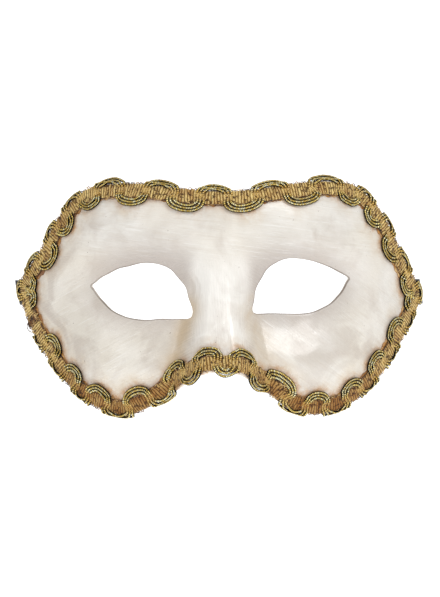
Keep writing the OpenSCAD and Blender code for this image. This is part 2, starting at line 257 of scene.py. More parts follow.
def band(tree, value, low, high, first=0.0, last=1.0):
    """value read as a smooth step from first, at low, to last, at high."""
    sockets = {"Value": value, "From Min": low, "From Max": high, "To Min": first, "To Max": last}
    return add(tree, "ShaderNodeMapRange", sockets, interpolation_type="SMOOTHSTEP").outputs[0]


def noise(tree, place, scale, detail=3.0, rough=0.5, bend=0.0):
    """Cloudy noise from 0 to 1, with scale blobs to the metre."""
    sockets = {"Vector": place, "Scale": scale, "Detail": detail, "Roughness": rough, "Distortion": bend}
    return add(tree, "ShaderNodeTexNoise", sockets).outputs[0]


def stretched(tree, place, size, turn=0.0):
    """Coordinates measured in units of size along three axes, turned about Y, for drawn-out patterns."""
    sockets = {"Vector": place, "Rotation": (0.0, math.radians(turn), 0.0), "Scale": size}
    return add(tree, "ShaderNodeMapping", sockets, vector_type="TEXTURE").outputs[0]


def read(tree, name):
    """A number stored on the points of the mesh."""
    return add(tree, "ShaderNodeAttribute", attribute_name=name).outputs["Fac"]


def bump(tree, height, depth, under=None):
    """The surface tilted as if height, from 0 to 1, were depth mm of relief."""
    sockets = {"Height": height, "Strength": 1.0, "Distance": depth * MM}
    if under is not None:
        sockets["Normal"] = under
    return add(tree, "ShaderNodeBump", sockets).outputs[0]


def new_finish(name, **settings):
    """A material with the given fixed shader inputs, its node tree, its shader and object places."""
    finish = bpy.data.materials.new(name)
    finish.use_nodes = True
    tree = finish.node_tree
    shader = tree.nodes["Principled BSDF"]
    for key, value in settings.items():
        shader.inputs[key.replace("_", " ")].default_value = value
    place = add(tree, "ShaderNodeTexCoord").outputs["Object"]
    return finish, tree, shader, place


def wire(tree, shader, **outputs):
    """Links outputs to the shader's inputs of the same names."""
    for key, output in outputs.items():
        tree.links.new(output, shader.inputs[key.replace("_", " ")])


def rgb(red, green, blue):
    """A colour given as 0 to 255 screen values, made linear."""
    return tuple((v / 255.0) ** 2.2 for v in (red, green, blue)) + (1.0,)

# %% [markdown]
# ## The shape of the face
#
# The mould is a face that wraps back towards the temples, rolls back at the forehead and the
# cheeks, sinks at the eye sockets and stands out at the nose. Each of these is one term of a height
# over the XZ plane, so the same formula gives the front, its slopes, and every point glued to it.

# %% Outlines in mm
WALL = 2.0
LEFT_EDGE = np.array([
    (0, 45.3, 10), (17, 46.6, 10), (34, 48.8, 12), (46, 49, 15), (57, 47.2, 20), (65, 41.5, 25),
    (72.5, 32, 25), (78.5, 20.5, 20), (88, 6, 12), (85.6, -7, 35), (80.2, -19, 100), (72.5, -30.3, 150),
    (64, -40.2, 160), (53.5, -47.8, 160), (41.5, -51, 130), (31, -47.3, 70), (21, -40.8, 30),
    (10.5, -33.2, 15), (0, -31.3, 15)])
RIGHT_EDGE = np.array([
    (0, 45.3, 10), (15, 46.3, 10), (32, 48.8, 12), (46, 50, 15), (57.5, 48.7, 20), (66, 42.5, 25),
    (73.5, 32, 25), (79.5, 19.5, 20), (87.9, 1.5, 12), (84.2, -9.5, 35), (79, -19.5, 100),
    (72.5, -30.3, 150), (64.5, -39.8, 160), (54.5, -47.2, 160), (42, -50.5, 130), (31, -48.2, 70),
    (21, -41, 30), (10.5, -33, 15), (0, -31.3, 15)])
EDGE = np.vstack([LEFT_EDGE[:-1] * (-1, 1, 1), RIGHT_EDGE[:0:-1]])
LEFT_EYE = (-34.5, 2.5) + (-1, 1) * np.array([
    (-2.5, 12), (7.5, 10.3), (16, 6.7), (20.6, 3.6), (22, 2.4), (21.1, 1),
    (17.5, -3.7), (11.5, -8.9), (2.5, -12), (-8.5, -12), (-17.5, -11.7), (-20.6, -11.4),
    (-21.8, -10.2), (-21.7, -7), (-19, 1.3), (-12.5, 9.3)])
RIGHT_EYE = (35.5, 4.5) + np.array([
    (-3.5, 12), (6.5, 10.3), (15, 7), (19.7, 4.6), (21, 3.4), (20.2, 2),
    (16.5, -3.7), (9.5, -9.3), (1, -11.5), (-8.5, -11.6), (-17, -11.5), (-19.8, -11.2),
    (-20.8, -10), (-20.6, -7), (-18.3, 1.8), (-12.2, 9.4)])
EYE_COUNT = [0, 1, 2, 4, 6, 7, 8, 9, 10.5, 13, 14, 15, 16]
SPAN = len(EDGE) // 2


def spline(points, t):
    """A smooth closed curve through points, where t counts them: Catmull-Rom, cubic in t's fraction."""
    i = np.floor(t).astype(int)
    f = (t - i)[..., None]
    a, b, c, d = (points[(i + k) % len(points)] for k in (-1, 0, 1, 2))
    return b + 0.5 * f * (c - a + f * (2 * a - 5 * b + 4 * c - d + f * (3 * b - 3 * c + d - a)))


# %% Height of the front surface
TEMPLE_BACK = 50.0
FOREHEAD_ROLL = 8.0
CHEEK_ROLL = 5.0
NOSE_OUT = 18.0
SOCKET_DEPTH = 6.5
CHEEK_SWELL = 3.5


def ease(low, high, v):
    """A smooth step: 0 below low, 1 above high, and 3u^2 - 2u^3 of the way u between them."""
    u = np.clip((v - low) / (high - low), 0, 1)
    return u * u * (3 - 2 * u)


def rise(x, z):
    """How far the face lies back: the wrap, a power of x, the two rolls, squares of z past a start,
    and the sockets, a flat bell, less the nose, a ridge widening downwards, and the cheeks, a bell."""
    side = np.abs(x)
    wrap = TEMPLE_BACK * (side / 88.0) ** np.where(x < 0, 2.1, 2.4)
    roll = (FOREHEAD_ROLL * (np.maximum(0, z - 18) / 32) ** 2
            + CHEEK_ROLL * (np.maximum(0, -20 - z) / 32) ** 2)
    down = np.clip((20 - z) / 53, 0, 1.1)
    nose = NOSE_OUT * down ** 1.5 * (1 - ease(0.25, 1, side / (9.5 + 12.5 * ease(0, 1, down))))
    off_middle = ease(0, 20, side)
    reach = ((side - 31) / 33) ** 2 + ((z - 2) / np.where(z > 2, 19, 25)) ** 2
    socket = SOCKET_DEPTH * off_middle * np.exp(-reach ** 2)
    cheek = CHEEK_SWELL * off_middle * bell(side, z, 44, -28, 26, 18)
    return wrap + roll + socket - nose - cheek


BRIDGE = rise(np.array(0.0), np.array(0.0)) + WALL


def front_y(x, z):
    """The front surface: the rise from the bridge, and the slight lumps that layered paper keeps."""
    lumps = 0.14 * unevenness(24, 11, x, z) + 0.05 * unevenness(9, 12, x, z)
    return rise(x, z) - BRIDGE + lumps


def facing(x, z, step=0.05):
    """The direction square to the front: its slopes across and up, measured over a small step."""
    across = (front_y(x + step, z) - front_y(x - step, z)) / (2 * step)
    up = (front_y(x, z + step) - front_y(x, z - step)) / (2 * step)
    return unit(np.stack([across, -np.ones_like(across), up], -1))


def on_shell(x, z, up):
    """The point of the face at (x, z), a distance up in front of the front surface."""
    return np.stack([x, front_y(x, z), z], -1) + np.asarray(up)[..., None] * facing(x, z)


TEMPLE_X = 86.0
nose_and_temple = front_y(np.array([0.0, TEMPLE_X]), np.array([-30.0, 4.0]))
print("nose tip and temple, y in mm:", nose_and_temple.round(1))

# %% [markdown]
# ## The papier-mache shell
#
# Layers of wet paper pressed into the mould dry to a wall about 2 mm thick. Cutting the eye holes
# and the edge leaves a lip that the gesso rounds off. The shell could be one sheet with a Solidify
# modifier, but a grid for each half, running out from its eye hole to the edge, keeps the lips
# crisp. The halves share their points on the middle line and are welded there.

# %% Shell grids
COLUMNS = 288
RINGS = 48
LIP = 0.7
LIP_STEPS = 9


def rim_of(side):
    """Each half's outer border, counted 0 to 24: the edge, then the middle line upwards from 16 to 22."""
    q = np.arange(COLUMNS) * 24 / COLUMNS
    k = np.where(q <= 16, q + 2, q - 22)
    edge = spline(EDGE, np.mod(k if side < 0 else len(EDGE) - k, len(EDGE)))[:, :2]
    middle = EDGE[SPAN, 1] + (EDGE[0, 1] - EDGE[SPAN, 1]) * (q - 16) / 6
    inner = ((q >= 16) & (q <= 22))[:, None]
    return np.where(inner, np.stack([0 * q, middle], -1), edge)


def hole_of(side):
    """Each half's eye hole, cut by hand and so a little uneven, and the direction out of the hole. Twelve
    steps go round it; at its two corners a step passes several points that lie close together."""
    steps = np.arange(len(EYE_COUNT))
    t = np.interp(np.arange(COLUMNS) * steps[-1] / COLUMNS, steps, EYE_COUNT)
    points = LEFT_EYE if side < 0 else RIGHT_EYE
    hole = spline(points, t)
    ahead = unit(spline(points, t + 0.02) - spline(points, t - 0.02))
    out = side * left_of(ahead)
    wobble = 0.16 * unevenness(9, 21 + side, hole[:, 0], hole[:, 1])
    return hole + out * wobble[:, None], out


def shell_grids():
    """Front and back rings of both halves, their eye lips, and the half-round outer edge."""
    points, faces, count = [], [], 0

    def put(grid):
        nonlocal count
        points.append(grid.reshape(-1, 3))
        faces.append(grid_faces(grid.shape[0], grid.shape[1], ring=True) + count)
        count += grid.shape[0] * grid.shape[1]

    for side in (-1, 1):
        rim = rim_of(side)
        hole, out = hole_of(side)
        start = hole + out * LIP
        share = np.linspace(0, 1, RINGS + 1)[:, None, None]
        at = start + (rim - start) * share
        for up in (0.0, -WALL):
            put(on_shell(at[..., 0], at[..., 1], np.full(at.shape[:2], up)))
        turn = np.linspace(0, np.pi, LIP_STEPS)[:, None]
        lip = hole + out * LIP * (1 - np.sin(turn))[..., None]
        put(on_shell(lip[..., 0], lip[..., 1], -WALL / 2 * (1 - np.cos(turn)) + 0 * lip[..., 0]))
    t = np.arange(3 * COLUMNS // 2) * 24 / COLUMNS
    x, z = spline(EDGE, t)[:, :2].T
    out = edge_out(t)
    turn = np.linspace(0, np.pi, LIP_STEPS)[:, None, None]
    put(on_shell(x, z, np.full(x.shape, -WALL / 2))
        + WALL / 2 * (facing(x, z) * np.cos(turn) + out * np.sin(turn)))
    return np.vstack(points), np.vstack(faces)


def edge_out(t):
    """The direction off the edge, in the surface: square to the edge's run and to the way it faces."""
    ahead, behind = spline(EDGE, t + 0.05), spline(EDGE, t - 0.05)
    run = on_shell(*ahead[:, :2].T, np.zeros(len(t))) - on_shell(*behind[:, :2].T, np.zeros(len(t)))
    x, z = spline(EDGE, t)[:, :2].T
    return np.cross(unit(run), facing(x, z))


# %% [markdown]
# ## The painted finish
#
# The front has white paint brushed on by hand, rubbed with a brown patina that stays in corners
# and along the braid, then gloss varnish. Brush strokes are noise drawn out along the way the brush
# went, and they tilt the varnish, so that they show mostly in the reflections. The paint also holds
# painted light: painted shade greys the eye sockets and darkens the left side, and a painted
# highlight whitens the nose ridge. The wearer's side is the raw paper: torn strips laid over each
# other. The distances and shares that steer the patina and the painted light are stored on the
# points of the mesh, the one to the braid once the braid is made.

# %% Painted and varnished papier-mache
VARNISH = 0.55
STROKE = (17 * MM, 9 * MM, 0.42 * MM)
TORN_STRIP = (26 * MM, 30 * MM, 11 * MM)


def painted_paper():
    finish, tree, shader, place = new_finish(
        "varnished_papier_mache", Specular_IOR_Level=0.5, Coat_Weight=VARNISH, Coat_Roughness=0.17)
    braid, eye, inside, crease = (read(tree, name) for name in ("braid_mm", "eye_mm", "inside", "crease"))
    forehead, cheek, socket_shade_share = (read(tree, name) for name in ("forehead", "cheek", "socket_shade"))

    def strokes(turn, shift):
        """Noise drawn out along the brush's way, moved by shift so that no two ways look alike."""
        sockets = {"Vector": place, "Location": (shift, 0.0, 0.0)}
        moved = add(tree, "ShaderNodeMapping", sockets).outputs[0]
        return noise(tree, stretched(tree, moved, STROKE, turn), 1.0, 3.0, 0.62, 0.25)

    brow = strokes(7.0, 0.0)
    left_cheek = strokes(-28.0, 0.3)
    right_cheek = strokes(37.0, 0.6)
    ridge = strokes(86.0, 0.9)
    body = mix(tree, forehead, mix(tree, cheek, left_cheek, right_cheek), brow)
    stroke = mix(tree, read(tree, "nose"), body, ridge)
    patch = noise(tree, place, 55.0, 4.0, 0.55, 0.6)
    cloud = noise(tree, place, 22.0, 2.0, 0.5, 0.8)
    speck = noise(tree, place, 900.0, 2.0, 0.5)

    paint = mix(tree, ramp(tree, patch, (0.32, 0.0), (0.68, 1.0)), rgb(224, 219, 210), rgb(240, 236, 229))
    paint = mix(tree, ramp(tree, cloud, (0.40, 0.0), (0.66, 0.5)), paint, rgb(232, 222, 204))
    # Painted shade: the paint turns grey in the eye sockets, where the real sockets fall into shade.
    paint = mix(tree, socket_shade_share, paint, rgb(184, 174, 167))
    paint = mix(tree, ramp(tree, stroke, (0.34, 0.30), (0.48, 0.0)), paint, rgb(196, 184, 168))
    paint = mix(tree, ramp(tree, stroke, (0.56, 0.0), (0.70, 0.45)), paint, rgb(252, 250, 246))
    # Painted highlight: the paint is whitened along the nose ridge, where the varnish catches the light.
    paint = mix(tree, times(tree, read(tree, "nose"), 0.75), paint, rgb(254, 251, 245))
    grain = ramp(tree, noise(tree, place, 260.0, 4.0, 0.65, 0.4), (0.36, 0.25), (0.60, 1.0))
    smear = calc(tree, "ADD", braid, times(tree, calc(tree, "SUBTRACT", patch, 0.5), 5.0))
    # This share sets how much stain the paint takes; towards the left temple it also stands in for painted
    # shade.
    patina_and_shade = times(tree, grain, read(tree, "patina_and_shade"))
    haze = times(tree, band(tree, smear, 9.0, 0.5), patina_and_shade)
    paint = mix(tree, times(tree, haze, 0.60), paint, rgb(206, 178, 140))
    halo = times(tree, band(tree, smear, 3.6, 0.4), patina_and_shade)
    paint = mix(tree, times(tree, halo, 0.85), paint, rgb(196, 138, 74))
    seam = times(tree, band(tree, braid, 1.3, 0.4), grain)
    paint = mix(tree, times(tree, seam, 0.80), paint, rgb(122, 72, 30))
    soot = ramp(tree, noise(tree, place, 38.0, 4.0, 0.6, 1.0), (0.46, 0.0), (0.62, 0.6))
    paint = mix(tree, times(tree, soot, read(tree, "patina_and_shade")), paint, rgb(196, 184, 172))
    worn = times(tree, crease, ramp(tree, patch, (0.36, 0.2), (0.60, 1.0)))
    paint = mix(tree, worn, paint, rgb(198, 172, 134))
    line = band(tree, calc(tree, "ADD", eye, times(tree, patch, 0.5)), 1.05, 0.50)
    paint = mix(tree, times(tree, line, 0.85), paint, rgb(96, 78, 60))
    paint = mix(tree, ramp(tree, speck, (0.755, 0.0), (0.775, 0.75)), paint, rgb(110, 84, 60))

    sockets = {"Vector": stretched(tree, place, TORN_STRIP, 24.0), "Scale": 1.0, "Randomness": 0.9}
    torn = add(tree, "ShaderNodeTexVoronoi", sockets, feature="F1")
    strip = add(tree, "ShaderNodeSeparateColor", {0: torn.outputs["Color"]}).outputs[0]
    fibre = noise(tree, place, 700.0, 4.0, 0.7, 1.5)
    paper = mix(tree, strip, rgb(206, 192, 168), rgb(224, 213, 192))
    paper = mix(tree, ramp(tree, fibre, (0.35, 0.5), (0.60, 0.0)), paper, rgb(168, 146, 116))
    overlap = ramp(tree, torn.outputs["Distance"], (0.50, 0.0), (0.80, 0.55))
    paper = mix(tree, overlap, paper, rgb(176, 156, 126))
    base = mix(tree, inside, paint, paper)

    relief = mix(tree, 0.25, stroke, noise(tree, place, 330.0, 3.0, 0.6, 0.5))
    wavy = bump(tree, patch, 0.35)
    brushed = bump(tree, relief, 0.24, wavy)
    raw = bump(tree, mix(tree, 0.45, strip, fibre), 0.30)
    normal = mix(tree, inside, brushed, raw)
    rough = mix(tree, inside, ramp(tree, stroke, (0.30, 0.34), (0.70, 0.20)), grey(0.8))
    coat = times(tree, calc(tree, "SUBTRACT", 1.0, inside), VARNISH)
    wire(tree, shader, Base_Color=base, Roughness=rough, Normal=normal, Coat_Weight=coat)
    return finish


# %% Shell piece
def distance_to(points, line):
    """The distance in mm from each point to the nearest point of a finely divided line."""
    return np.concatenate([
        np.sqrt(((part[:, None] - line[None]) ** 2).sum(-1).min(1)) for part in np.array_split(points, 40)])


def store(piece, name, values):
    """One number on each point of the piece's mesh."""
    layer = piece.data.attributes.new(name, "FLOAT", "POINT")
    layer.data.foreach_set("value", np.asarray(values, np.float32))


points, faces = shell_grids()
shell = new_piece("papier_mache_shell", points, faces, painted_paper(), "varnished_papier_mache",
                  weld=0.004)
shell_points = points_of(shell)
x, y, z = shell_points.T
behind = (y - front_y(x, z)) * -facing(x, z)[:, 1]
holes = [on_shell(*hole_of(side)[0].T, np.zeros(COLUMNS)) for side in (-1, 1)]
near_eye = np.minimum(*(distance_to(shell_points, line) for line in holes))
fold_x = 11 + 9 * ease(5, -33, z)
crease = np.exp(-((np.abs(x) - fold_x) / 4.5) ** 2) * ease(4, -14, z) * 0.75
corner = bell(x, z, -13.5, -4, 4.5, 5.0) + bell(x, z, 14.5, -3, 4.5, 5.0)
store(shell, "eye_mm", near_eye)
store(shell, "inside", ease(0.9, 1.5, behind))
store(shell, "crease", np.clip(crease + 0.45 * corner, 0, 1))
# More stain towards the bottom and at random; the term in x darkens the left side towards the temple, which
# is painted shade, not stain.
patina_and_shade = 0.55 + 0.35 * ease(-2, -30, z) + 0.45 * ease(-34, -74, x) + 0.25 * unevenness(22, 21, x, z)
store(shell, "patina_and_shade", np.clip(patina_and_shade, 0.2, 1))
store(shell, "forehead", ease(8, 20, z))
store(shell, "cheek", ease(-8, 8, x))
# The nose ridge: it turns the brush strokes there, and it carries the painted highlight on the paint.
store(shell, "nose", ease(16, 9, np.abs(x)) * ease(22, 8, z))
# Painted shade in the eye sockets: a flat bell round each socket, kept off the nose, greys the paint.
reach = ((np.abs(x) - 31) / 28) ** 2 + ((z - 5) / 19) ** 2
store(shell, "socket_shade", np.exp(-reach ** 2) * ease(6, 14, np.abs(x)))
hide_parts("mask_shell")

# %% [markdown]
# ## Along the braid
#
# The braid follows the edge from its join below the left temple all the way round. A place on it
# is three numbers: along, across and up. `braid_place` turns them into a point, so that the woven
# ground, the cords and the glue are all drawn flat, as on a workbench, and laid on the mask by one
# function. Past the shell's edge the braid bends round the lip and on to the wearer's side.

# %% Places on the braid
JOIN_AT = 9.4
GLUE_FILM = 0.3
GROUND_W = 6.4
GROUND_T = 1.0
EDGE_LAP = 2.9
JOIN_GAP = 0.6

trace_t = JOIN_AT + np.arange(0, len(EDGE) + 0.01, 0.02)
trace = on_shell(*spline(EDGE, trace_t)[:, :2].T, np.zeros(len(trace_t)))
trace_run = run_of(trace)
BRAID_LEN = trace_run[-1]
print("braid length in mm:", round(BRAID_LEN, 1))


def braid_place(along, across, up):
    """Over the shell, the point of the face lap mm inside the edge. Past it, first a turn round the
    lip, whose radius is half the wall, by as much as the roll here allows, then straight on."""
    along, across, up = np.broadcast_arrays(along, across, up)
    shape = along.shape
    along, across, up = along.ravel(), across.ravel(), up.ravel()
    t = np.interp(along, trace_run, trace_t)
    here_x, here_z, roll = spline(EDGE, t).T
    here = on_shell(here_x, here_z, np.zeros(len(t)))
    face, out = facing(here_x, here_z), edge_out(t)
    lap = EDGE_LAP - across
    inner = here - out * lap[:, None]
    flat = on_shell(inner[:, 0], inner[:, 2], up)
    bend, middle = WALL / 2, WALL / 2 + GROUND_T / 2
    roll = np.radians(roll)
    turn = np.clip(-lap / middle, 0, roll)[:, None]
    rest = np.maximum(0, -lap - roll * middle)[:, None]
    round_lip = (here - face * bend + (bend + up)[:, None] * (face * np.cos(turn) + out * np.sin(turn))
                 + rest * (out * np.cos(turn) - face * np.sin(turn)))
    return np.where((lap >= 0)[:, None], flat, round_lip).reshape(*shape, 3)


# %% [markdown]
# ## The woven ground of the braid
#
# Gimp is woven on a narrow loom: thick soft yarns lie side by side across it and turn back at both
# edges. The strip is a closed profile carried along the braid, and its height rises and falls once
# for each yarn, so the ribs are real relief. The yarn's twist and its brown and orange shades come
# from the finish, which counts the yarns along the strip.

# %% Yarn and metal finishes
YARN_STEP = 1.25
FIBRE = 0.25 * MM


def along_uv(tree):
    """The two numbers of the piece's own UV map: mm along it, and across or round it."""
    split = add(tree, "ShaderNodeSeparateXYZ", {0: add(tree, "ShaderNodeUVMap", uv_map="along").outputs[0]})
    return split.outputs[0], split.outputs[1]


def gold_yarn():
    finish, tree, shader, place = new_finish("gold_yarn", Sheen_Weight=0.12, Sheen_Roughness=0.4,
                                             Specular_IOR_Level=0.25)
    along, across = along_uv(tree)
    count = calc(tree, "DIVIDE", along, YARN_STEP)
    within = off_half(tree, count)
    dice = chance(tree, calc(tree, "FLOOR", count))
    twist = calc(tree, "ADD", times(tree, across, 7.5), times(tree, along, 5.5))
    ply = band(tree, calc(tree, "SINE", twist), -0.8, 0.8)
    cloud = noise(tree, place, 140.0, 3.0, 0.6)
    fibre = noise(tree, stretched(tree, place, (FIBRE, FIBRE, FIBRE)), 1.0, 3.0, 0.7)
    yarn = ramp(tree, dice, (0.0, rgb(196, 148, 70)), (0.45, rgb(226, 182, 98)), (0.8, rgb(248, 212, 130)),
                (1.0, rgb(176, 122, 52)))
    yarn = mix(tree, times(tree, ply, 0.35), yarn, rgb(255, 226, 150))
    # Painted highlight: each yarn is lightened along its crown, mid-way between the grooves.
    yarn = mix(tree, band(tree, within, 0.20, 0.0, 0.0, 0.6), yarn, rgb(255, 240, 184))
    worn = calc(tree, "MAXIMUM", ramp(tree, cloud, (0.48, 0.0), (0.66, 0.6)),
                times(tree, read(tree, "worn"), ramp(tree, cloud, (0.30, 0.45), (0.55, 0.95))))
    yarn = mix(tree, worn, yarn, rgb(160, 108, 52))
    yarn = mix(tree, ramp(tree, fibre, (0.34, 0.65), (0.50, 0.0)), yarn, rgb(132, 88, 38))
    # Painted shade: the grooves between the yarns are darkened to near black; the knot noise adds dark
    # specks.
    groove = band(tree, within, 0.26, 0.46)
    knot = ramp(tree, noise(tree, place, 620.0, 2.0, 0.6), (0.54, 0.0), (0.63, 0.9))
    groove = calc(tree, "MAXIMUM", times(tree, groove, 0.85), knot)
    base = mix(tree, groove, yarn, rgb(58, 28, 8))
    relief = bump(tree, mix(tree, 0.5, ply, fibre), 0.30)
    wire(tree, shader, Base_Color=base, Roughness=ramp(tree, fibre, (0.3, 0.75), (0.7, 0.5)), Normal=relief)
    return finish


def off_join(along):
    """along kept clear of the gap at the join."""
    return np.clip(along, JOIN_GAP / 2, BRAID_LEN - JOIN_GAP / 2)


def ground_grid():
    """A rounded strip: across runs over the top and back underneath, and the top swells with each
    yarn as the root of a sine, by a third of the strip's thickness and less towards its edges."""
    steps = np.arange(JOIN_GAP / 2, BRAID_LEN - JOIN_GAP / 2, YARN_STEP / 9)
    round_trip = np.linspace(0, 2 * np.pi, 21)[:-1]
    along, angle = np.meshgrid(steps, round_trip, indexing="ij")
    wide = np.sign(np.cos(angle)) * np.abs(np.cos(angle)) ** 0.75
    high = np.sign(np.sin(angle)) * np.abs(np.sin(angle)) ** 0.45
    yarn = np.sqrt(np.abs(np.sin(np.pi * along / YARN_STEP)))
    loose = unevenness(1.9, 31, along, 0 * along)
    across = wide * (GROUND_W / 2 - 0.42 + 0.42 * yarn + 0.14 * loose)
    top = np.maximum(high, 0) * (0.50 + 0.50 * yarn) * (1 + 0.09 * unevenness(2.4, 32, along, across))
    up = GLUE_FILM + GROUND_T * (0.40 + 0.60 * top - 0.40 * np.maximum(-high, 0))
    slant = 0.10 * across * unevenness(14.0, 33, along, 0 * along)
    slant = slant + 0.12 * unevenness(2.2, 34, along, across)
    width = GROUND_W / 2 * wide[0]
    return braid_place(off_join(along + slant), across, up), grid_uv(steps, np.append(width, width[:1]))


def closed_tube_faces(rows, cols, start=0):
    """The quads of a tube whose two ends are closed by strips that join its opposite sides."""
    half = np.arange(cols // 2 - 1)
    cap = np.stack([half, half + 1, cols - 2 - half, cols - 1 - half], -1)
    return np.vstack([grid_faces(rows, cols, ring=True), cap, (rows - 1) * cols + cap[:, ::-1]]) + start


def padded(uv, faces):
    """The coordinates of a grid's corners, and zeros for the corners of the quads that close its ends."""
    return np.vstack([uv, np.zeros((len(faces) * 4 - len(uv), 2))])


points, uv = ground_grid()
faces = closed_tube_faces(*points.shape[:2])
ground = new_piece("woven_ground", points, faces, gold_yarn(), "gold_yarn", uv=padded(uv, faces))
store(ground, "worn", ease(-22, -44, points[..., 2]).ravel())
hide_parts("braid_ground")

# %% [markdown]
# The yarns turn back at both edges of the ground in small loops. Each loop is half a ring of six
# sided tube, and all of them are worked out at once as one array: loop, place round the loop, and
# place round the yarn.


# %% Edge loops
LOOP_RINGS = 8
LOOP_SIDES = 6
LOOP_SIZES = (0.4, 0.8), (0.3, 1.05), (-0.2, 0.5)


def edge_loops(edge, seed):
    """Half rings: along and across are the cosine and sine of the turn, times the loop's own reach, and
    the tube adds a small circle in the loop's radial and upward directions."""
    dice = np.random.default_rng(seed)
    start = np.arange(0.9, BRAID_LEN - 0.9, YARN_STEP)
    count = len(start)
    start = start + dice.uniform(-0.2, 0.2, size=count)
    long, wide, lift = (dice.uniform(low, high, (count, 1, 1)) for low, high in LOOP_SIZES)
    phi = np.linspace(-0.3, np.pi + 0.3, LOOP_RINGS)[None, :, None]
    theta = np.arange(LOOP_SIDES)[None, None] * 2 * np.pi / LOOP_SIDES
    thick = 0.17 * (1 + 0.2 * dice.normal(size=(count, 1, 1)))
    radial = thick * np.cos(theta)
    along = start[:, None, None] + (long + radial) * np.cos(phi)
    across = edge * (GROUND_W / 2 - 0.35 + (wide + radial) * np.sin(phi))
    up = GLUE_FILM + 0.55 + lift * np.sin(phi) + thick * np.sin(theta)
    one = closed_tube_faces(LOOP_RINGS, LOOP_SIDES)
    faces = (one[None] + LOOP_RINGS * LOOP_SIDES * np.arange(count)[:, None, None]).reshape(-1, 4)
    return braid_place(off_join(along), across, up).reshape(-1, 3), faces


inner, inner_faces = edge_loops(-1, 35)
outer, outer_faces = edge_loops(1, 36)

# %% [markdown]
# ## The metal-wrapped cords
#
# Three thin cords, each a cotton core wound with flat gilt wire, are woven in side by side. They
# swing across the ground as a meander, so that concentric loops stand out on either side in turn,
# and in the middle they go in under the yarns that tie them down. A curve object with a round
# bevel would give plain tubes. Rings of points placed along the meander can also swell and shrink
# along a helix, which is what a wound wire looks like.

# %% Gilt wire
WIND_STEP = 0.70
WIRE_RING = 0.14


def gilt_wire():
    finish, tree, shader, place = new_finish("gilt_wire", Specular_IOR_Level=0.15)
    along, turn = along_uv(tree)
    phase = calc(tree, "ADD", calc(tree, "DIVIDE", along, WIND_STEP), turn)
    within = off_half(tree, phase)
    dice = chance(tree, calc(tree, "FLOOR", phase))
    cloud = noise(tree, place, 95.0, 3.0, 0.6, 0.4)
    scratch = noise(tree, place, 2600.0, 2.0, 0.6)
    gilt = ramp(tree, dice, (0.0, rgb(208, 168, 78)), (0.35, rgb(255, 228, 136)),
                (0.75, rgb(255, 250, 206)), (1.0, rgb(228, 190, 98)))
    gilt = mix(tree, ramp(tree, cloud, (0.48, 0.0), (0.68, 0.55)), gilt, rgb(176, 142, 72))
    gilt = mix(tree, ramp(tree, scratch, (0.36, 0.35), (0.50, 0.0)), gilt, rgb(130, 98, 44))
    gap = band(tree, within, 0.22, 0.34)
    # The gaps between the turns of wire show the dark core. The sides of the cord, away from its top, are
    # darkened too: that is painted shade.
    off_top = times(tree, off_half(tree, times(tree, turn, 2.0)), 0.5)
    side = band(tree, calc(tree, "ADD", off_top, times(tree, gap, 0.05)), 0.100, 0.130)
    dark = calc(tree, "MAXIMUM", times(tree, gap, 0.8), side)
    bound = read(tree, "bound")
    yarn = ramp(tree, cloud, (0.36, rgb(206, 158, 80)), (0.62, rgb(240, 204, 124)))
    base = mix(tree, dark, gilt, rgb(10, 6, 2))
    tied = mix(tree, times(tree, dark, 0.85), yarn, rgb(58, 32, 10))
    base = mix(tree, times(tree, bound, 0.75), base, tied)
    metal = times(tree, band(tree, dark, 0.6, 0.1, 0.0, 0.6), calc(tree, "SUBTRACT", 1.0, bound))
    rough = mix(tree, dark, ramp(tree, scratch, (0.3, 0.26), (0.7, 0.42)), grey(0.9))
    wire(tree, shader, Base_Color=base, Metallic=metal, Roughness=rough, Normal=bump(tree, scratch, 0.03))
    return finish


# %% Tubes along paths
def tube(path, up, radius, sides):
    """Rings round a path: at each point, the square to the path and to up, then the square to both,
    carry a circle whose radius may change along it and round it. Returns rings and run lengths."""
    run = run_of(path)
    ahead = unit(np.gradient(path, run, axis=0))
    beside = unit(np.cross(ahead, up))
    over = np.cross(beside, ahead)
    angle = np.arange(sides) * 2 * np.pi / sides
    r = radius(run[:, None], angle[None]) if callable(radius) else np.full((len(run), sides), radius)
    circle = (beside[:, None] * np.cos(angle)[None, :, None]
              + over[:, None] * np.sin(angle)[None, :, None])
    return path[:, None] + r[..., None] * circle, run


def joined(tubes):
    """The points and the quads of several closed tubes as one mesh."""
    starts = np.cumsum([0] + [rings.shape[0] * rings.shape[1] for rings in tubes[:-1]])
    faces = [closed_tube_faces(*rings.shape[:2], start) for rings, start in zip(tubes, starts)]
    return np.vstack([rings.reshape(-1, 3) for rings in tubes]), np.vstack(faces)


def evenly(path, step):
    """The same path with its points step mm apart, or a little less, found along its length. Columns
    past the third, such as directions, are carried along."""
    run = run_of(path[:, :3])
    places = np.linspace(0, run[-1], math.ceil(run[-1] / step) + 1)
    return np.stack([np.interp(places, run, column) for column in path.T], -1)


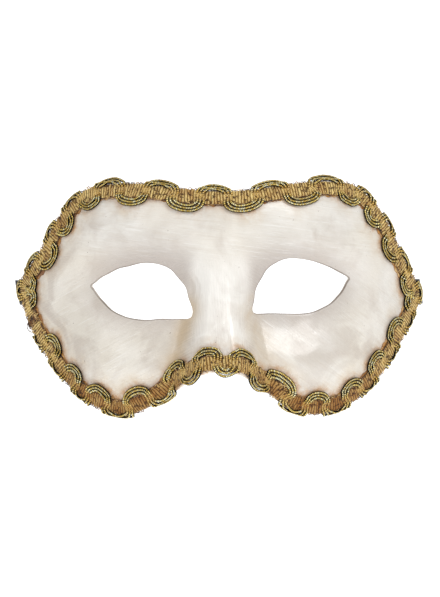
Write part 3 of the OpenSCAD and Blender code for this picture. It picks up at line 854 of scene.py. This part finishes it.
# %% Cords
CORD_SIDES = 10
CORD_D = 1.15
CORD_STEP = CORD_D + 0.15
SCALLOP_IN, SCALLOP_OUT = 7.6, 6.6
CORD_MIDDLE = (SCALLOP_IN + SCALLOP_OUT) / 2 - CORD_STEP - CORD_D / 2
SCALLOP_AT = np.array([
    10.6, 11.8, 12.9, 14.8, 16.4, 17.6, 18.8, 20.2, 21.9, 23.4, 24.7, 26.1, 27.5, 28.4, 29.4,
    30.6, 32, 33.9, 35.4, 36.8, 38.2, 40.1, 41.7, 42.9, 43.8, 44.7])
along_at = np.interp(SCALLOP_AT, trace_t, trace_run)
along_at = np.concatenate([[2 * along_at[0] - along_at[1]], along_at, [2 * along_at[-1] - along_at[-2]]])
OVER_GROUND = GLUE_FILM + GROUND_T + 0.30 * CORD_D
IN_GROUND = GLUE_FILM + GROUND_T - 0.50 * CORD_D
BESIDE_GROUND = GLUE_FILM + CORD_D / 2 + 0.05


def meander(a):
    """One turn of the angle a to a scallop. Across swings once a turn. Along grows with a, and two
    small waves widen each scallop. Sewing by hand moves every scallop a little."""
    count = a / (2 * np.pi) + 0.1 * np.sin(2 * a) - 0.01 * np.sin(4 * a)
    along = np.interp(count, np.arange(len(along_at)) - 1, along_at) + 0.25 * unevenness(2.2, 41, a)
    across = -CORD_MIDDLE * np.cos(a) * (1 + 0.03 * unevenness(9.0, 42, a)) - (SCALLOP_IN - SCALLOP_OUT) / 2
    return np.stack([along, across], -1)


def cord_flat(offset, seed):
    """The meander moved sideways by offset, a little more or less as the cords jostle: [along, across]."""
    a = 2 * np.pi * np.arange(-0.6, len(SCALLOP_AT) - 0.7, 0.002)
    ahead = unit(meander(a + 0.02) - meander(a - 0.02))
    moved = offset + 0.05 * unevenness(1.2, seed, a)
    return meander(a) - moved[:, None] * left_of(ahead)


def cord_path(offset, seed):
    """The flat cord laid on the mask: low beside the ground, over its edge, then in under the yarns
    that tie it down in the middle. Its points, an even step apart, and at each the direction away
    from the mask and the place across the braid."""
    along, across = cord_flat(offset, seed).T
    up = BESIDE_GROUND + (OVER_GROUND - BESIDE_GROUND) * ease(4.5, 3.3, np.abs(across))
    off_middle = np.abs(across) + 0.35 * unevenness(2.5, seed + 3, along)
    up = up + (IN_GROUND - OVER_GROUND) * ease(2.3, 1.1, off_middle)
    up = up + 0.05 * unevenness(5.0, seed + 7, along, across)
    low, high = braid_place(along, across, up), braid_place(along, across, up + 0.5)
    both = evenly(np.hstack([low, high - low, across[:, None]]), WIRE_RING)
    return both[:, :3], both[:, 3:6], both[:, 6]


def wound(run, angle):
    """Half the cord's width, less between the turns of wire."""
    return CORD_D / 2 * (0.88 + 0.17 * np.abs(np.sin(np.pi * run / WIND_STEP + angle / 2)) ** 0.8)


gilt = gilt_wire()
steps = np.arange(0, BRAID_LEN, 0.9)
braid_lines = [braid_place(steps, -GROUND_W / 2 + 0.4 + 0 * steps, 0 * steps)]
for letter, offset, seed in (("a", -CORD_STEP, 51), ("b", 0.0, 52), ("c", CORD_STEP, 53)):
    path, up, across = cord_path(offset, seed)
    rings, run = tube(path, up, wound, CORD_SIDES)
    faces = closed_tube_faces(*rings.shape[:2])
    uv = padded(grid_uv(run, np.arange(CORD_SIDES + 1) / CORD_SIDES), faces)
    cord = new_piece(f"wound_cord_{letter}", rings, faces, gilt, "gold_cord", uv=uv)
    store(cord, "bound", np.repeat(ease(2.9, 1.9, np.abs(across)), CORD_SIDES))
    braid_lines.append(path[::6])
    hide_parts(f"gimp_cord_{letter}")


# %% Patina beside the braid
store(shell, "braid_mm", distance_to(shell_points, np.vstack(braid_lines)))

# %% [markdown]
# ## Glue along the braid
#
# The braid is laid in hot animal glue, which oozes out on the face side and dries to an uneven
# amber ridge, fuller at the temples where the braid is hard to bend. It is a closed strip again,
# whose width and height follow smooth noise.

# %% Amber glue
def amber_glue():
    finish, tree, shader, place = new_finish(
        "amber_glue", Specular_IOR_Level=0.5, Coat_Weight=0.4, Coat_Roughness=0.12, Subsurface_Weight=0.1,
        Subsurface_Radius=(0.002, 0.001, 0.0004), Subsurface_Scale=0.6)
    cloud = noise(tree, place, 120.0, 3.0, 0.6, 0.5)
    fine = noise(tree, place, 900.0, 3.0, 0.6)
    amber = ramp(tree, cloud, (0.34, rgb(126, 80, 34)), (0.50, rgb(178, 126, 62)),
                 (0.66, rgb(214, 180, 124)))
    amber = mix(tree, ramp(tree, fine, (0.36, 0.5), (0.50, 0.0)), amber, rgb(120, 72, 28))
    wire(tree, shader, Base_Color=amber, Roughness=ramp(tree, fine, (0.3, 0.22), (0.7, 0.42)),
         Normal=bump(tree, mix(tree, 0.4, cloud, fine), 0.25))
    return finish


def glue_ridge():
    """Eight points round: across is a cosine and up a flattened sine, both times the local fullness."""
    steps = np.arange(JOIN_GAP / 2, BRAID_LEN - JOIN_GAP / 2, 0.5)
    angle = np.arange(8) * np.pi / 4
    along, turn = np.meshgrid(steps, angle, indexing="ij")
    middle = braid_place(steps, 0 * steps, 0 * steps)
    temple = ease(58, 76, np.abs(middle[:, 0]))
    full = 0.22 + 0.60 * temple + 0.28 * unevenness(11, 61, steps) + 0.16 * unevenness(3.5, 62, steps)
    full = np.clip(full, 0.12, 1.3)[:, None]
    across = -GROUND_W / 2 - 0.05 - 0.8 * full * (1 - np.cos(turn))
    up = GLUE_FILM * 0.5 + full * np.where(np.sin(turn) > 0, 0.5, 0.08) * np.sin(turn)
    return braid_place(along, across, up)


points = glue_ridge()
faces = closed_tube_faces(*points.shape[:2])
ridge = new_piece("glue_ridge", points, faces, amber_glue(), "amber_glue")
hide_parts("glue_bead")

# %% [markdown]
# ## Frayed ends at the join
#
# Below the left temple the braid's two ends meet, cut with scissors. Loose yarns and gilt threads
# stick out there. Each is a thin tube along a short bowed line, with its own seeded start, heading
# and length, and all of them make one piece.

# %% Loose threads
def loose_threads(count, seed):
    """Each thread starts on the ground beside the cut. Along runs out and sideways as a straight line,
    and up rises as a sine, so that the thread arches before its tip comes down."""
    dice = np.random.default_rng(seed)
    tubes = []
    s = np.linspace(0, 1, 14)
    for _ in range(count):
        end = dice.choice([-1, 1])
        start = end * dice.uniform(0.2, 1.4)
        across = dice.uniform(-3.3, 3.1) + dice.uniform(-2.6, 2.2) * s
        along = start - end * dice.uniform(1.5, 4.6) * s + 0.3 * np.sin(3 * s + dice.uniform(0, 6))
        up = GROUND_T + 0.35 + dice.uniform(0.3, 1.2) * np.sin(2.6 * s) - 0.5 * s
        path = braid_place(np.mod(along, BRAID_LEN), across, up)
        if np.linalg.norm(np.diff(path, axis=0), axis=1).max() > 2:
            continue
        tubes.append(tube(path, np.array([[0.0, -1.0, 0.2]]), dice.uniform(0.09, 0.17), 6)[0])
    return joined(tubes)


def thread_finish():
    finish, tree, shader, place = new_finish("loose_thread", Sheen_Weight=0.3, Specular_IOR_Level=0.4)
    cloud = noise(tree, place, 420.0, 2.0, 0.6)
    fine = noise(tree, place, 3000.0, 2.0, 0.6)
    colour = ramp(tree, cloud, (0.40, rgb(52, 28, 10)), (0.52, rgb(140, 94, 44)),
                  (0.66, rgb(232, 200, 136)))
    wire(tree, shader, Base_Color=colour, Roughness=ramp(tree, fine, (0.3, 0.4), (0.7, 0.7)),
         Normal=bump(tree, fine, 0.04))
    return finish


loose_yarn = thread_finish()
points, faces = loose_threads(46, 71)
new_piece("loose_threads", points, faces, loose_yarn, "gold_yarn")
new_piece("edge_loops", np.vstack([inner, outer]), np.vstack([inner_faces, outer_faces + len(inner)]),
          loose_yarn, "gold_yarn")

# %% [markdown]
# ## The tie ribbons
#
# A ribbon of black satin, 11 mm wide and nearly half a metre long, is glued inside each temple. It
# leaves past the edge, turns back behind the mask and is wound into a flat hank for storage. Cloth
# simulation would only flatten such a tidy winding, so the ribbon is worked out as a folded strip:
# a straight strip is carried round a curve in plan, over one slanting fold, and round the winding.

# %% Ribbon curve in plan
RIBBON_W = 11.0
SATIN_T = 0.25
TEMPLE_T = {-1: 8.0, 1: 28.0}
RIBBON_UP = {-1: 2.0, 1: 2.5}
LEAN = {-1: 0.36, 1: -0.26}
GLUED_LEN, FOLD_OUT, FOLD_GAP = 14.0, 7.5, 4.5
RIBBON_BEHIND = WALL + 0.15 + 0.6 + 0.2
HANK_IN, HANK_BEHIND = 13.0, WALL + 1.5 + 4.5
FOLD_R = 0.45
ROD_REACH = math.pi * FOLD_R / math.sqrt(2)
RIBBON_ROWS, RIBBON_COLS = 1250, 15
TIE_DROP = 11.0


def plan(side, x, behind):
    """In plan, drawn for the right side, the point a distance behind the front at the ribbon's height."""
    x, z = side * np.atleast_1d(x), np.full(np.size(x), RIBBON_UP[side])
    point = on_shell(x, z, -np.full(np.size(x), behind))
    return np.stack([side * point[:, 0], point[:, 1]], -1)


def plan_out(side, x):
    """In plan, the outward direction along the shell: square to the way it faces."""
    face = facing(np.array([side * x]), np.array([RIBBON_UP[side]]))[0]
    return unit(np.array([-face[1], side * face[0]]))


def temple_x(side):
    """How far out the middle of the ribbon crosses the shell's edge."""
    return abs(spline(EDGE, np.array([TEMPLE_T[side]]))[0, 0])


def lead_curve(side):
    """Along the glue, straight out, a half circle back, and a cubic that ends square to the hank."""
    temple = temple_x(side)
    out = plan_out(side, temple)
    left = left_of(out)
    glued = plan(side, np.linspace(temple - GLUED_LEN * out[0], temple, 30), RIBBON_BEHIND)
    turn = np.linspace(-np.pi / 2, np.pi / 2, 30)[:, None]
    centre = glued[-1] + out * FOLD_OUT + left * FOLD_GAP / 2
    fold = centre + FOLD_GAP / 2 * (out * np.cos(turn) + left * np.sin(turn))
    inward = -plan_out(side, temple - HANK_IN)
    hank = plan(side, temple - HANK_IN, HANK_BEHIND)[0] - inward * ROD_REACH
    start, end = fold[-1], hank - inward * RIBBON_W / 2
    reach = 1.1 * np.linalg.norm(end - start)
    s = np.linspace(0, 1, 40)[1:, None]
    bend = ((1 + 2 * s) * (1 - s) ** 2 * start - s * (1 - s) ** 2 * reach * out
            + s ** 2 * (3 - 2 * s) * end + s ** 2 * (s - 1) * reach * inward)
    return np.vstack([glued, fold, bend]), hank, inward


# %% Winding
LAYER = 0.95
TURN_HALF = 20.5
RUNS = 9
LEAD_GAP = 0.45


def winding():
    """In the plane of up and through, the middle line of a flat coil wound from its centre: straight
    runs at 0, 1, -1, 2, -2 and so on layers, joined by half circles that grow by half a layer each.
    The layers on either side of the middle leave room for the lead between them."""
    level = [(LEAD_GAP + LAYER * ((k + 1) // 2)) * (1 if k % 2 or not k else -1) for k in range(RUNS)]
    way, pieces = 1, []
    for k in range(RUNS):
        ends = np.linspace(-TURN_HALF if k else 0.0, TURN_HALF, 120) * way
        pieces.append(np.stack([ends, np.full(len(ends), level[k])], -1))
        if k < RUNS - 1:
            r = abs(level[k + 1] - level[k]) / 2
            a = np.linspace(0, np.pi, 24)[1:-1]
            middle, sign = (level[k] + level[k + 1]) / 2, np.sign(level[k + 1] - level[k])
            pieces.append(np.stack([way * (TURN_HALF + r * np.sin(a)), middle - sign * r * np.cos(a)], -1))
        way = -way
    line = np.vstack(pieces)
    return line, run_of(line)


def ribbon_strip(side):
    """A flat strip, its length s and its width v, taken in three stretches. First s runs along the plan
    curve and v is height. Then the strip goes round a rod that slants at 45 degrees: past the rod its
    length is height and its width lies along the shell. Last, that height is run round the winding."""
    curve, hank, inward = lead_curve(side)
    run = run_of(curve)
    coil, coil_run = winding()
    total = run[-1] + RIBBON_W / 2 + coil_run[-1]
    s, v = np.meshgrid(np.linspace(0, total, RIBBON_ROWS),
                       np.linspace(-0.5, 0.5, RIBBON_COLS) * RIBBON_W, indexing="ij")
    s = s + 0.35 * v * ease(total - 12, total, s)
    at = np.stack([np.interp(s, run, column) for column in curve.T], -1)
    lean = LEAN[side] * v * np.exp(-((s - GLUED_LEN - FOLD_OUT - 3) / 8.0) ** 2)
    out = plan_out(side, TEMPLE_X)
    lead = np.concatenate([at + (lean - 0.4 * np.abs(lean))[..., None] * out, v[..., None]], -1)

    along = run[-1] + RIBBON_W / 2 - s
    past = -(along + v) / math.sqrt(2)
    foot_a, foot_v = (along - v) / 2, (v - along) / 2
    angle = np.clip(past / FOLD_R, 0, np.pi)
    beyond = FOLD_R * np.sin(angle) - np.maximum(past - np.pi * FOLD_R, 0)
    flat_a = np.where(past < 0, along, foot_a - beyond / math.sqrt(2))
    height = np.where(past < 0, v, foot_v - beyond / math.sqrt(2))
    through = FOLD_R * (1 - np.cos(angle)) - LEAD_GAP
    wound = (past > np.pi * FOLD_R) & (height > 0)
    coil_up, coil_through = (np.interp(height, coil_run, column) for column in coil.T)
    up = np.where(wound, coil_up, height)
    pinch = 1 - 0.26 * np.exp(-((up + TIE_DROP) / 6.0) ** 2)
    deep = np.where(wound, coil_through * pinch, through) + LEAD_GAP
    deep = deep + 0.10 * unevenness(30, 81 + side, up, 6 * deep, flat_a) * ease(run[-1], run[-1] + 30, s)
    inward3, through3 = np.append(inward, 0), np.append(left_of(inward), 0)
    hank3 = np.append(hank, 0)
    folded = (hank3 - flat_a[..., None] * inward3 - deep[..., None] * through3
              + up[..., None] * np.array([0.0, 0.0, 1.0]))
    points = np.where((s < run[-1])[..., None], lead, folded)
    points = points * (side, 1, 1) + (0, 0, RIBBON_UP[side])
    return points, s, v, total, (hank, inward)


# %% Black satin
def black_satin():
    finish, tree, shader, place = new_finish(
        "black_satin", Sheen_Weight=0.25, Sheen_Roughness=0.35, Anisotropic=0.5, Specular_IOR_Level=0.55)
    along, across = along_uv(tree)
    float_s = calc(tree, "SINE", times(tree, along, 2 * math.pi / 0.42))
    float_v = calc(tree, "SINE", calc(tree, "ADD", times(tree, across, 2 * math.pi / 0.30),
                                      times(tree, along, 2 * math.pi / 2.1)))
    weave = calc(tree, "MULTIPLY_ADD", times(tree, float_s, float_v), 0.5, 0.5)
    cloud = noise(tree, place, 160.0, 3.0, 0.6, 0.5)
    lint = noise(tree, place, 2300.0, 2.0, 0.65)
    selvedge = band(tree, calc(tree, "ABSOLUTE", across), RIBBON_W / 2 - 0.75, RIBBON_W / 2 - 0.55)
    black = ramp(tree, cloud, (0.35, rgb(20, 19, 22)), (0.65, rgb(36, 34, 38)))
    black = mix(tree, times(tree, selvedge, 0.8), black, rgb(12, 12, 14))
    black = mix(tree, ramp(tree, lint, (0.62, 0.0), (0.74, 0.35)), black, rgb(120, 116, 114))
    rough = mix(tree, cloud, grey(0.30), grey(0.46))
    wire(tree, shader, Base_Color=black, Roughness=mix(tree, selvedge, rough, grey(0.6)),
         Normal=bump(tree, weave, 0.05))
    return finish


# %% Ribbon pieces
satin = black_satin()
SIDES = {"left": -1, "right": 1}
hank_middle = {}
for word, side in SIDES.items():
    points, s, v, total, hank_middle[word] = ribbon_strip(side)
    rows, cols = s.shape
    ribbon = new_piece(f"{word}_tie_ribbon", points, grid_faces(rows, cols), satin, "black_satin",
                       grid_uv(s, v))
    wall = ribbon.modifiers.new("cloth", "SOLIDIFY")
    wall.thickness, wall.offset = SATIN_T * MM, 0.0
    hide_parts(f"{word}_ribbon_lead", f"{word}_ribbon_hank")
    print(f"{word} ribbon, cut length in mm: {total:.0f}")

# %% [markdown]
# ## Thread round each hank
#
# A few turns of black button thread pinch each hank and end in a small knot with two tails. The
# turns follow a rounded rectangle in the hank's own cross-section, rising a little each turn.


# %% Thread ties
def black_thread():
    finish, tree, shader, place = new_finish("black_thread", Sheen_Weight=0.2, Specular_IOR_Level=0.4)
    along, turn = along_uv(tree)
    twist = calc(tree, "ADD", times(tree, along, 7.0), times(tree, turn, 4 * math.pi))
    ply = calc(tree, "MULTIPLY_ADD", calc(tree, "SINE", twist), 0.5, 0.5)
    fibre = noise(tree, place, 2600.0, 3.0, 0.6)
    black = mix(tree, ply, rgb(12, 12, 13), rgb(44, 42, 44))
    black = mix(tree, ramp(tree, fibre, (0.60, 0.0), (0.74, 0.4)), black, rgb(110, 106, 102))
    wire(tree, shader, Base_Color=black, Roughness=mix(tree, fibre, grey(0.5), grey(0.8)),
         Normal=bump(tree, mix(tree, 0.4, ply, fibre), 0.08))
    return finish


TIE_TURNS = 4
TIE_D = 0.75
TIE_SIDES = 8
TINY = 1e-6


def tie_paths():
    """Round the hank: cosine and sine raised to the power 0.45, up growing with the angle. The knot is
    a small trefoil, and each tail falls from it along a parabola. Columns are out, through and up."""
    a = np.linspace(-np.pi / 2, 2 * np.pi * TIE_TURNS - np.pi / 2, 220)
    c, d = np.cos(a), np.sin(a)
    up = -TIE_DROP + 0.8 * ((a + np.pi / 2) / (2 * np.pi) - TIE_TURNS / 2)
    turns = np.stack([(RIBBON_W / 2 + 0.55) * np.sign(c) * np.abs(c) ** 0.45,
                      4.1 * np.sign(d) * np.abs(d) ** 0.45, up], -1)
    k = np.linspace(0, 2 * np.pi, 60)
    knot = np.stack([0.5 * (np.sin(k) + 2 * np.sin(2 * k)), 4.9 + 0.5 * np.sin(3 * k),
                     -TIE_DROP + 0.45 * (np.cos(k) - 2 * np.cos(2 * k))], -1)
    u = np.linspace(0, 1, 24)
    tails = [np.stack([way * (0.6 + 3.4 * u), 4.9 + 0.7 * u - 0.5 * u ** 2,
                       -TIE_DROP - reach * u ** 1.6], -1) for way, reach in ((1, 8.5), (-1, 6.8))]
    return [turns, knot, *tails]


def in_hank(points, word):
    """From a hank's out, through and up to the frame."""
    hank, inward = hank_middle[word]
    out, through, up = points[..., :1], points[..., 1:2], points[..., 2:]
    flat = hank + inward * ROD_REACH - out * inward - (through + LEAD_GAP) * left_of(inward)
    return np.concatenate([flat * (SIDES[word], 1), up + RIBBON_UP[SIDES[word]]], -1)


thread = black_thread()
for word in SIDES:
    tubes = []
    for path in tie_paths():
        placed = in_hank(evenly(path, 0.25), word)
        from_middle = unit(placed - placed.mean(0) + TINY)
        tubes.append(tube(placed, from_middle, TIE_D / 2, TIE_SIDES)[0])
    tie = new_piece(f"{word}_thread_tie", *joined(tubes), thread, "black_thread")
    corner = np.empty(len(tie.data.loops), np.int32)
    tie.data.loops.foreach_get("vertex_index", corner)
    along = points_of(tie)[corner] @ (1.0, 1.0, 0.7)
    turn = (corner % TIE_SIDES) / TIE_SIDES
    layer = tie.data.uv_layers.new(name="along")
    layer.data.foreach_set("uv", np.stack([along, turn], -1).astype(np.float32).ravel())
    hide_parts(f"{word}_hank_tie")

# %% [markdown]
# ## Glue that holds the ribbons
#
# Each ribbon end is pressed into a puddle of clear glue inside the temple. A square grid is pulled
# into a rounded, wavy-edged patch, laid between the shell and the ribbon, and swells a little past
# the ribbon's edges.


# %% Clear glue
def clear_glue():
    finish, tree, shader, place = new_finish(
        "clear_glue", Coat_Weight=0.6, Coat_Roughness=0.08, Transmission_Weight=0.35, IOR=1.49)
    cloud = noise(tree, place, 200.0, 3.0, 0.6, 0.4)
    bubble = noise(tree, place, 1500.0, 2.0, 0.6)
    colour = ramp(tree, cloud, (0.3, rgb(214, 196, 158)), (0.7, rgb(238, 228, 204)))
    colour = mix(tree, ramp(tree, bubble, (0.62, 0.0), (0.70, 0.6)), colour, rgb(250, 247, 238))
    wire(tree, shader, Base_Color=colour, Roughness=ramp(tree, bubble, (0.3, 0.12), (0.7, 0.3)),
         Normal=bump(tree, cloud, 0.3))
    return finish


PATCH_IN = 8.6
PATCH_HALF = 7.3, 6.6
PATCH_T = 0.72


def glue_patch(side):
    """A square grid pulled to a rounded square, radius to the power 0.25 of the summed fourth powers,
    its rim waved by noise. The top is a dome, 1 - r^4, and the bottom lies on the shell."""
    u, v = np.meshgrid(np.linspace(-1, 1, 49), np.linspace(-1, 1, 41), indexing="ij")
    radius = np.maximum(np.abs(u), np.abs(v))
    pull = radius / np.maximum((u ** 4 + v ** 4) ** 0.25, TINY)
    way = pull / np.maximum(radius, TINY)
    wave = 1 + 0.09 * unevenness(1.1, 91 + side, u * way, v * way)
    x = temple_x(side) - PATCH_IN + PATCH_HALF[0] * u * pull * wave
    z = RIBBON_UP[side] + PATCH_HALF[1] * v * pull * wave
    dome = np.clip(1 - radius ** 4, 0, 1) ** 0.5
    front = on_shell(side * x, z, -(WALL + 0.02) + 0 * x)
    back = on_shell(side * x, z, -(WALL + 0.06 + PATCH_T * dome + 0.05 * dome * unevenness(4, 93, x, z)))
    return front, back


glue = clear_glue()
for word, side in SIDES.items():
    front, back = glue_patch(side)
    rows, cols = front.shape[:2]
    faces = grid_faces(rows, cols)
    i, j = np.meshgrid(np.arange(rows), np.arange(cols), indexing="ij")
    border = np.concatenate([i[:-1, 0] * cols, (rows - 1) * cols + j[-1, :-1],
                             i[:0:-1, -1] * cols + cols - 1, j[0, :0:-1]])
    after = np.roll(border, -1)
    rim = np.stack([border, after, after + rows * cols, border + rows * cols], -1)
    patch = new_piece(f"{word}_glue_patch", np.concatenate([front.reshape(-1, 3), back.reshape(-1, 3)]),
                      np.vstack([faces, faces[:, ::-1] + rows * cols, rim]), glue, "clear_glue")
    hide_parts(f"{word}_ribbon_glue")

# %% [markdown]
# ## White sweep
#
# The mask hangs in front of a plain white paper sweep: a floor that curves up into a back wall, so
# no line shows behind the object. From behind, the paper is clear, so that the back of the mask can
# be looked at through it. Standard view keeps its white as white.


# %% White sweep
def white_sweep():
    """The floor runs back, turns up along a quarter circle, and goes on as a wall; x is straight."""
    finish, tree, shader, place = new_finish(
        "white_paper", Roughness=0.9, Emission_Color=(1.0, 1.0, 1.0, 1.0), Emission_Strength=0.45)
    white = mix(tree, noise(tree, place, 3.0), rgb(250, 250, 250), rgb(252, 252, 252))
    wire(tree, shader, Base_Color=white)
    clear = add(tree, "ShaderNodeBsdfTransparent").outputs[0]
    behind = add(tree, "ShaderNodeNewGeometry").outputs["Backfacing"]
    seen = add(tree, "ShaderNodeMixShader", {0: behind, 1: shader.outputs[0], 2: clear}).outputs[0]
    tree.links.new(seen, tree.nodes["Material Output"].inputs[0])
    front, back, low, high, bend = -1.2, 0.5, -0.25, 1.5, 0.35
    quarter = np.linspace(0, np.pi / 2, 30)
    y = [np.linspace(front, back, 10), back + bend * np.sin(quarter), np.full(10, back + bend)]
    z = [np.full(10, low), low + bend * (1 - np.cos(quarter)), np.linspace(low + bend, high, 10)]
    y, z = np.concatenate(y), np.concatenate(z)
    x = np.linspace(1.5, -1.5, 12)
    grid = np.stack([np.repeat(x, len(y)), np.tile(y, len(x)), np.tile(z, len(x))], -1)
    mesh = bpy.data.meshes.new("white_sweep")
    mesh.from_pydata(grid.tolist(), [], grid_faces(len(x), len(y)).tolist())
    mesh.polygons.foreach_set("use_smooth", [True] * len(mesh.polygons))
    mesh.materials.append(finish)
    return in_scene("white_sweep", mesh)


white_sweep()
bpy.context.scene.view_settings.view_transform = "Standard"
